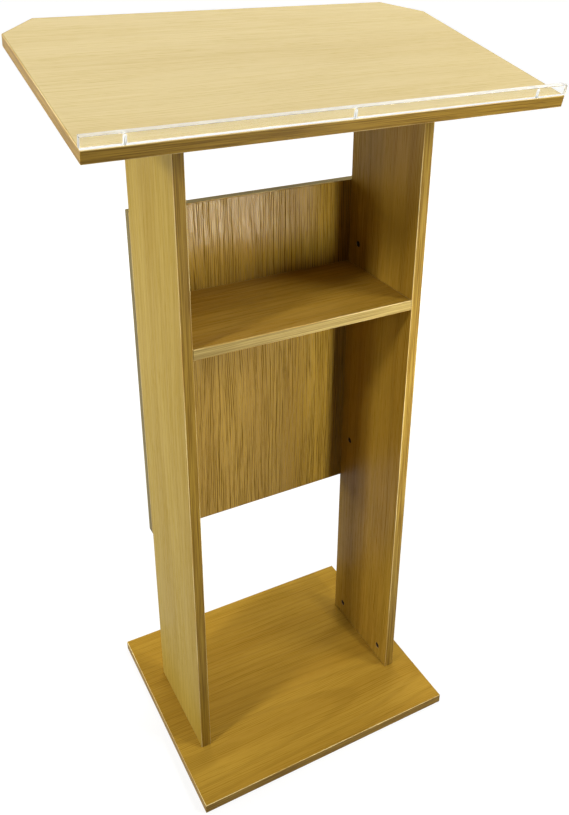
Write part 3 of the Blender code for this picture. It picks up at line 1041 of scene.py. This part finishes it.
@dataclass
class PageStop:
    """The clear bar on the reading top's near edge, with the screws that come up into its blind holes."""

    top: ReadingTop
    node: str = "page_stop"
    gap: float = 0.3 * MM  # over the reading face
    height: float = 13 * MM
    thickness: float = 8 * MM
    ease: float = 0.6 * MM  # of the upper edges
    arris: float = 0.15 * MM  # of the others
    hole_radius: float = 2.25 * MM
    hole_point: float = 2.0 * MM  # cone that the drill leaves
    hole_cover: float = 1.5 * MM  # over that cone
    head_radius: float = 3.0 * MM
    head_height: float = 1.4 * MM  # of its countersunk cone
    head_sunk: float = 0.3 * MM
    cross: Triple = (3.4 * MM, 0.8 * MM, 1.2 * MM)  # length, width and depth of a screw's recess
    thread: Thread = Thread(radius=1.75 * MM, core=1.35 * MM, pitch=1.2 * MM, steps=160, sides=24)
    screw_in_stop: float = 7.5 * MM  # above the reading face
    screw_chamfer: float = 0.5 * MM
    plain_neck: float = 1.0 * MM  # between head and thread
    slack: float = 0.15 * MM  # round a screw in the reading top

    def seats(self) -> dict[str, float]:
        """Finds where each screw stands along the bar.

        Returns:
            Its place along X, by its node's name.
        """
        places = {}
        for side in ("left", "middle", "right"):
            name = f"{self.node}_screw_{side}"
            low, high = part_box(name)
            places[name] = (low.x + high.x) / 2
        return places

    def bores(self) -> list[Bore]:
        """Lists the screws' holes through the reading top.

        Returns:
            The holes, in the lectern's frame.
        """
        place = self.top.place()
        radius, head = self.thread.radius + self.slack, self.head_radius + self.slack
        holes = []
        for x in self.seats().values():
            mouth = place @ Vector((x, self.thickness / 2, OVERCUT))
            bottom = place @ Vector((x, self.thickness / 2, -self.top.thickness - OVERCUT))
            holes.append(SunkBore(mouth, bottom, radius, head, self.head_sunk + OVERCUT, self.head_height))
        return holes

    def build_bar(self, clear: Material, sawn: Material) -> None:
        """Builds the bar: eased along its upper edges, sawn at its ends and top, and drilled from below.

        Args:
            clear: The finish of its long sides.
            sawn: The finish of its ends, its top and its holes.
        """
        low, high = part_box(self.node)
        top = self.gap + self.height
        shape = box_shape((low.x, 0, self.gap), (high.x, self.thickness, top))
        middle = self.gap + self.height / 2
        upper = [edge for edge in shape.edges if all(point.co.z > middle for point in edge.verts)]
        others = [edge for edge in shape.edges if edge not in upper]
        for edges, width, steps in ((upper, self.ease, 4), (others, self.arris, 2)):
            bevel(shape, [edge for edge in edges if edge.is_valid], width, steps)
        for face in shape.faces:
            face.material_index = int(max(abs(face.normal.x), face.normal.z) > SQUARE)
        bar = new_piece("acrylic_" + self.node, mesh_of(shape, "page_stop_mesh", [clear, sawn]))
        tip = top - self.hole_cover
        radius, mouth = self.hole_radius, self.gap - OVERCUT
        drills = []
        for x in self.seats().values():
            drill = turned_shape([(0, tip), (radius, tip - self.hole_point), (radius, mouth), (0, mouth)])
            bmesh.ops.translate(drill, verts=drill.verts[:], vec=(x, self.thickness / 2, 0))
            drills.append(mesh_of(drill, "drill", [sawn]))
        cut(bar, drills)
        bar.data.transform(self.top.place())
        bar.visible_shadow = False
        seat(bar, self.node, LECTERN)

    def build_screw(self, name: str, x: float, steel: Material) -> None:
        """Builds one screw: a countersunk head with a cross recess, and a thread up into the bar.

        Args:
            name: The node that it stands for.
            x: Its place along the bar.
            steel: Its finish.
        """
        crown = self.top.thickness - self.head_sunk
        under = crown - self.head_height
        tip = -self.screw_in_stop
        shoulder = tip + self.screw_chamfer
        profile = [
            (0, crown),
            (self.head_radius, crown),
            *self.thread.rod(under, shoulder),
            (self.thread.radius - self.screw_chamfer, tip),
            (0, tip),
        ]
        shape = turned_shape(profile, self.thread.sides)
        for face in shape.faces:
            face.smooth = abs(face.normal.z) < SQUARE
        self.thread.press(shape, shoulder, under - self.plain_neck)
        screw = new_piece("plated_" + name, mesh_of(shape, name + "_mesh", [steel]))
        cut(screw, [mesh_of(blade, "blade", [steel]) for blade in cross_cutters(*self.cross, crown)])
        head_down = Matrix.Rotation(math.pi, 4, "X")
        place = self.top.place() @ Matrix.Translation((x, self.thickness / 2, 0))
        screw.data.transform(place @ head_down)
        seat(screw, name, LECTERN)


class Joint(Enum):
    """The board joints that the fittings pull together, by the first word of a fitting's name."""

    BASE = "base"
    TOP = "top"
    SHELF = "shelf"
    PANEL = "panel"

    def boards(self, side: str) -> tuple[str, str]:
        """Names the two boards of the joint.

        Args:
            side: Left or right.

        Returns:
            The board whose end meets the joint, and the board whose face does.
        """
        upright = side + "_upright"
        return {
            Joint.BASE: (upright, "base_board"),
            Joint.TOP: (upright, "reading_top"),
            Joint.SHELF: ("shelf", upright),
            Joint.PANEL: (upright, "modesty_panel"),
        }[self]

    def way(self, side: str) -> Vector:
        """Gives the way out of the end board and into the face board.

        Args:
            side: Left or right.

        Returns:
            The unit vector.
        """
        ways = {
            Joint.BASE: (0, 0, -1),
            Joint.TOP: OFF_SLOPE,
            Joint.SHELF: (-1 if side == "left" else 1, 0, 0),
            Joint.PANEL: (0, 1, 0),
        }
        return Vector(ways[self])


@dataclass
class CamFittings:
    """The cams that turn in the boards, and the bolts that they pull on."""

    bores: Bores  # that they add to
    radius: float = 5 * MM
    face: float = 6.7 * MM  # cam's face over the bolt's axis
    floor: float = -3.8 * MM
    edge: float = 0.3 * MM
    rim: float = 0.6 * MM
    rim_depth: float = 0.25 * MM
    rim_slope: float = 0.1 * MM
    cross: Triple = (6.4 * MM, 1.5 * MM, 2.2 * MM)  # length, width and depth of the recess
    arrow: float = 0.9 * MM
    arrow_depth: float = 0.5 * MM
    setback: float = 25 * MM
    head_radius: float = 2.5 * MM
    head_length: float = 2.0 * MM
    head_chamfer: float = 0.4 * MM
    neck_radius: float = 1.4 * MM
    neck_end: float = 5.65 * MM
    shank_radius: float = 3.0 * MM
    shank_chamfer: float = 0.3 * MM
    burr: float = 0.2 * MM  # taken off the bolt's other edges
    thread: Thread = Thread(radius=2.5 * MM, core=1.9 * MM, pitch=2.0 * MM, steps=36, sides=32)
    thread_length: float = 9.0 * MM
    thread_start: float = 0.1 * MM  # beyond the shank
    slack: float = 0.15 * MM  # round a piece in its bore
    end_gap: float = 0.5 * MM
    joint_gap: float = 0.3 * MM

    def cam_mesh(self, zinc: Material) -> Mesh:
        """Models one cam about Z, with its bolt along +X.

        Args:
            zinc: Its finish.

        Returns:
            The mesh, with the rim, cross recess and arrow on its face and the bolt's chamber in its side.
        """
        middle = Matrix.Translation((0, 0, (self.face + self.floor) / 2))
        shape = rod_shape(self.radius, self.face - self.floor, middle)
        rims = [edge for edge in shape.edges if abs(edge.verts[0].co.z - edge.verts[1].co.z) < MM / 10]
        bevel(shape, rims, self.edge, 2)
        outer = [face for face in shape.faces if face.normal.z > SQUARE]
        for width, depth in ((self.rim, 0), (self.rim_slope, -self.rim_depth)):
            bmesh.ops.inset_individual(shape, faces=outer, thickness=width, depth=depth, use_even_offset=True)
        cam = new_piece("cam_blank", mesh_of(shape, "cam_mesh", [zinc]))
        cut(cam, [mesh_of(cutter, "cutter", [zinc]) for cutter in self.cam_cutters()])
        mesh = cam.data
        bpy.data.objects.remove(cam)
        return mesh

    def cam_cutters(self) -> list[Shape]:
        """Makes the shapes that are cut from a cam.

        Returns:
            The chamber, slot and mouth for the bolt, the arrow and the two blades of the cross recess.
        """
        clear = 2 * self.slack
        sweep = math.hypot(self.head_radius, self.head_length / 2) + clear
        reach = self.head_radius + clear
        chamber = turned_shape([(0, reach), (sweep, reach), (sweep, -reach), (0, -reach)])
        slot = self.neck_radius + clear
        outside = self.radius + OVERCUT
        neck_slot = box_shape((-outside, -outside, -slot), (outside, slot, slot))
        entry = self.head_radius + self.slack
        mouth = turned_shape([(0, 0), (entry, 0), (entry, -outside), (0, -outside)])
        sideways = Matrix.Rotation(math.pi / 2, 3, "Y")
        bmesh.ops.rotate(mouth, verts=mouth.verts[:], cent=(0, 0, 0), matrix=sideways)
        beside_rim = Matrix.Translation((1.2 * self.arrow - self.radius + self.rim, 0, self.face))
        pointed = beside_rim @ Matrix.Rotation(math.pi / 2, 4, "Z")
        arrow = rod_shape(self.arrow, 2 * self.arrow_depth, pointed, sides=3)
        return [chamber, neck_slot, mouth, arrow, *cross_cutters(*self.cross, self.face)]

    def bolt_mesh(self, steel: Material) -> Mesh:
        """Models one bolt along +Z from the cam's axis: head, neck, shank and thread.

        Args:
            steel: Its finish.

        Returns:
            The mesh.
        """
        half = self.head_length / 2
        tip = self.setback + self.joint_gap + self.thread_length
        profile = [
            (0, -half),
            (self.head_radius - self.head_chamfer, -half),
            (self.head_radius, self.head_chamfer - half),
            (self.head_radius, half - self.burr),
            (self.head_radius - self.burr, half),
            (self.neck_radius, half),
            (self.neck_radius, self.neck_end),
            (self.shank_radius - self.shank_chamfer, self.neck_end),
            (self.shank_radius, self.neck_end + self.shank_chamfer),
            (self.shank_radius, self.setback - self.burr),
            (self.shank_radius - self.burr, self.setback),
            *self.thread.rod(self.setback, tip),
            (self.thread.core, tip),
            (0, tip),
        ]
        shape = turned_shape(profile, self.thread.sides)
        self.thread.press(shape, self.setback + self.thread_start, tip)
        return mesh_of(shape, "bolt_mesh", [steel])

    def drill(self, joint: Joint, side: str, place: Vector, outward: Vector) -> None:
        """Adds the bores of one cam and its bolt to the two boards.

        Args:
            joint: The joint that it pulls together.
            side: Left or right.
            place: The point on the cam's axis where the bolt's axis crosses it.
            outward: The unit vector out of the cam's face.
        """
        end_board, face_board = (self.bores[board] for board in joint.boards(side))
        way = joint.way(side)
        end = place + way * self.setback
        low, high = self.floor - self.end_gap, self.face + 2 * OVERCUT
        end_board.append(Bore(place + outward * low, place + outward * high, self.radius + self.slack))
        end_board.append(Bore(place, end + way * OVERCUT, self.shank_radius + self.slack))
        mouth = end + way * self.joint_gap
        bottom = mouth + way * (self.thread_length + self.end_gap)
        face_board.append(Bore(mouth - way * OVERCUT, bottom, self.thread.radius + self.slack))

    def build(self, zinc: Material, steel: Material) -> None:
        """Builds and seats every cam and bolt, and notes their bores.

        Args:
            zinc: The cams' finish.
            steel: The bolts' finish.
        """
        cam_mesh, bolt_mesh = self.cam_mesh(zinc), self.bolt_mesh(steel)
        for hinge in frame["joints"]:
            name = hinge["child"]
            kind, _, side, _ = name.split("_")
            joint = Joint(kind)
            place, outward = Vector(hinge["pos_m"]), Vector(hinge["axis"]).normalized()
            self.drill(joint, side, place, outward)
            way = joint.way(side)
            cam = new_piece("cast_" + name, cam_mesh.copy())
            cam.data.transform(axes(place, way, outward))
            seat(cam, name, name)
            bolt_node = name.replace("_cam_", "_bolt_")
            bolt = new_piece("plated_" + bolt_node, bolt_mesh.copy())
            bolt.data.transform(axes(place, outward, way))
            seat(bolt, bolt_node, LECTERN)
        for mesh in (cam_mesh, bolt_mesh):
            bpy.data.meshes.remove(mesh)


@dataclass
class Dowels:
    """The fluted dowels between the fittings, which keep the boards in line."""

    bores: Bores  # that they add to
    radius: float = 4.0 * MM
    length: float = 30 * MM
    in_face: float = 10 * MM
    chamfer: float = 1.0 * MM
    flute: float = 0.25 * MM
    slack: float = 0.15 * MM
    end_gap: float = 0.5 * MM

    def mesh(self, beech: Material) -> Mesh:
        """Models one dowel about Z, with its middle at the origin.

        Args:
            beech: Its finish.

        Returns:
            The mesh.
        """
        half = self.length / 2
        shoulder = half - self.chamfer
        inner = self.radius - self.chamfer
        upper = [(0, half), (inner, half), (self.radius, shoulder)]
        shape = turned_shape(upper + [(radius, -height) for radius, height in reversed(upper)])
        for point in shape.verts:
            step = round(math.atan2(point.co.y, point.co.x) / (2 * math.pi) * ROUND)
            if step % 2 and point.co.xy.length > inner + self.flute:
                point.co.xy *= 1 - self.flute / self.radius
        for face in shape.faces:
            face.smooth = False
        return mesh_of(shape, "dowel_mesh", [beech])

    def build(self, beech: Material) -> None:
        """Builds and seats every dowel, and notes its bores.

        Args:
            beech: Their finish.
        """
        mesh = self.mesh(beech)
        half, radius = self.length / 2, self.radius + self.slack
        for name in sorted(frame["nodes"]):
            if "_dowel_" not in name:
                continue
            kind, _, side = name.split("_")[:3]
            joint = Joint(kind)
            way = joint.way(side)
            low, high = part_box(name)
            middle = (low + high) / 2
            joint_line = middle + way * (half - self.in_face)
            past = way * (half + self.end_gap)
            end_board, face_board = (self.bores[board] for board in joint.boards(side))
            end_board.append(Bore(middle - past, joint_line + way * OVERCUT, radius))
            face_board.append(Bore(joint_line - way * OVERCUT, middle + past, radius))
            dowel = new_piece("beech_" + name, mesh.copy())
            dowel.data.transform(axes(middle, way.orthogonal().normalized(), way))
            seat(dowel, name, LECTERN)
        bpy.data.meshes.remove(mesh)


class Beam(Enum):
    """What a lamp does: all that light does, only lighting, or only showing its own shape in gloss."""

    FULL = (True, True)
    MATT = (True, False)
    SHEEN = (False, True)


@dataclass(frozen=True)
class Lamp:
    """A white softbox."""

    name: str
    place: Triple
    aim: Triple
    size: Pair  # width and height
    watts: float
    beam: Beam = Beam.FULL
    spread: float = 180  # degrees, less with a grid over the softbox

    def build(self) -> None:
        """Hangs the lamp and aims it."""
        light = bpy.data.lights.new(self.name, "AREA")
        light.shape = "RECTANGLE"
        light.size, light.size_y = self.size
        light.energy = self.watts
        light.spread = math.radians(self.spread)
        lamp = bpy.data.objects.new(self.name, light)
        lamp.location = self.place
        lamp.visible_diffuse, lamp.visible_glossy = self.beam.value
        lamp.visible_transmission = False  # the page stop lets the light through as if it were not there
        way = Vector(self.aim) - Vector(self.place)
        lamp.rotation_euler = way.to_track_quat("-Z", "Y").to_euler()
        bpy.context.scene.collection.objects.link(lamp)


@dataclass
class Studio:
    """The camera, the white paper floor and the lamps."""

    camera_place: Triple = (-0.5054, -0.9716, 1.2026)
    camera_turn: Triple = (64.292, -0.766, -28.736)  # degrees
    lens: float = 38.714  # millimetres, like the sensor's width
    sensor: float = 36
    shift: Pair = (-0.0213, -0.1071)  # the picture is framed low and to the left of the lens axis
    floor_side: float = 24.0
    floor_gap: float = 0.1 * MM  # under the base
    lamps: tuple[Lamp, ...] = (
        Lamp("left_softbox", (-2.29, -0.73, 2.0), (0, 0, 0.6), (0.3, 0.3), 30),
        Lamp("left_low_softbox", (-2.2, -0.65, 1.0), (0, 0, 0.6), (0.3, 0.3), 10, Beam.MATT),
        Lamp("left_fill", (-2.4, 0.24, 0.6), (0, 0, 0.6), (0.3, 0.3), 6.5, Beam.MATT),
        Lamp("overhead_back", (0.6, 1.5, 2.5), (0, 0, 0.9), (2.0, 1.6), 51, Beam.MATT),
        Lamp("overhead_left", (-1.4, 0.1, 2.5), (0, 0, 0.9), (1.4, 1.4), 17),
        Lamp("overhead_right", (1.4, 0.1, 2.5), (0, 0, 0.9), (1.4, 1.4), 12.5),
        Lamp("back_left_fill", (-1.6, 1.6, 0.9), (0, 0, 0.6), (0.8, 0.8), 12),
        Lamp("front_right_softbox", (1.2, -1.2, 1.5), (0, 0, 0.6), (0.5, 0.5), 17.5),
        Lamp("front_strip", (0.246, -0.627, 0.58), (0.16, 0.0, 0.55), (0.05, 0.27), 1.9, Beam.MATT, 130),
        Lamp("low_reflector", (0.663, -1.6, 0.25), (-0.05, 0.084, 0.81), (0.2, 0.34), 4, Beam.SHEEN),
    )

    def build_camera(self) -> None:
        """Sets the camera up at the photograph's viewing angle."""
        data = bpy.data.cameras.new("camera")
        data.sensor_width = self.sensor
        data.lens = self.lens
        data.shift_x, data.shift_y = self.shift
        camera = bpy.data.objects.new("camera", data)
        camera.location = self.camera_place
        camera.rotation_euler = [math.radians(angle) for angle in self.camera_turn]
        bpy.context.scene.collection.objects.link(camera)
        bpy.context.scene.camera = camera

    def build_floor(self, white: StudioWhite) -> None:
        """Lays the paper just under the base.

        Args:
            white: Its finish.
        """
        shape = bmesh.new()
        bmesh.ops.create_grid(shape, x_segments=1, y_segments=1, size=self.floor_side / 2)
        floor = new_piece("floor", mesh_of(shape, "floor_mesh", [white.floor()]))
        floor.location.z = -self.floor_gap

    def build(self, white: StudioWhite) -> None:
        """Sets up the whole studio.

        Args:
            white: The finish of the paper and the surroundings.
        """
        scene = bpy.context.scene
        scene.view_settings.view_transform = "Standard"
        scene.world = white.world()
        self.build_camera()
        self.build_floor(white)
        for lamp in self.lamps:
            lamp.build()
            log.info("%s at %s", lamp.name, lamp.place)


def boards() -> list[Board]:
    """Lists the lectern's boards but the reading top, each with its own cut of the print; some prints are
    tinted as painted light, sheen or shade.

    Returns:
        The boards, from the floor up.
    """
    # The left upright's print is drawn paler and yellower than the others: painted light, for the light from
    # the left on its outer face.
    left_lit_face = OakPrint("#B99D47", "#AB8E39", "#8B6F25", figure=0.5, specular=0.12)
    right_face = OakPrint("#AE8A31", "#9E7927", figure=0.9)
    shelf_face = OakPrint("#B38D34", "#A37D2A", figure=0.6)
    # The shelf's band is drawn paler and less saturated: painted sheen on its front edge.
    shelf_sheen_edge = OakPrint("#B8A05E", line="#8F773E")
    # The panel's print is drawn paler and less saturated than the other boards: painted sheen, over its real
    # gloss.
    panel_sheen_face = OakPrint(
        "#C09C40", "#B28D35", "#7F611D", rings=0.05, figure=2.1, roughness=0.22, specular=0.6
    )
    # The panel's band is drawn grey and dark: painted shade on its edges.
    panel_shaded_edge = OakPrint("#87763A", line="#5E5024")
    return [
        Board("base_board", Lie.FLAT, (310.0, 95.0, 60.0), OakPrint(figure=0.6, specular=0.12)),
        # The left upright's band is drawn darker than the right's: painted shade on its front edge.
        Upright("left_upright", Lie.SIDE, (120.0, 160.0, -130.0), left_lit_face, OakPrint("#A07F2C")),
        Upright("right_upright", Lie.SIDE, (-640.0, 210.0, -420.0), right_face, OakPrint("#A98939")),
        Board("shelf", Lie.FLAT, (-820.0, 140.0, -640.0), shelf_face, shelf_sheen_edge),
        Board("modesty_panel", Lie.BACK, (75.0, 60.0, 20.0), panel_sheen_face, panel_shaded_edge),
    ]


def main() -> None:
    """Builds every sub-assembly in order, then the studio."""
    logging.basicConfig(level=logging.INFO, format="%(name)s %(message)s")
    lining = Chipboard().material()
    steel = PlatedSteel().material()
    bores: Bores = defaultdict(list)
    CamFittings(bores).build(CastZinc().material(), steel)
    Dowels(bores).build(TurnedBeech().material())
    # The reading top's print is drawn paler and less saturated than the other boards: painted light, for the
    # bright light and sheen on its upper face.
    pale = OakPrint("#D0BC85", "#CBB67E", "#AC9458", rings=0.06, figure=0.5)
    top = ReadingTop("reading_top", Lie.SLOPED, (-150.0, 60.0, 210.0), pale)
    stop = PageStop(top)
    stop.build_bar(ClearAcrylic().material(), SawnAcrylic().material())
    for name, x in stop.seats().items():
        stop.build_screw(name, x, steel)
    bores[top.node] += stop.bores()
    for board in (*boards(), top):
        board.build(lining, bores[board.node])
    Studio().build(StudioWhite())


if __name__ == "__main__":
    main()
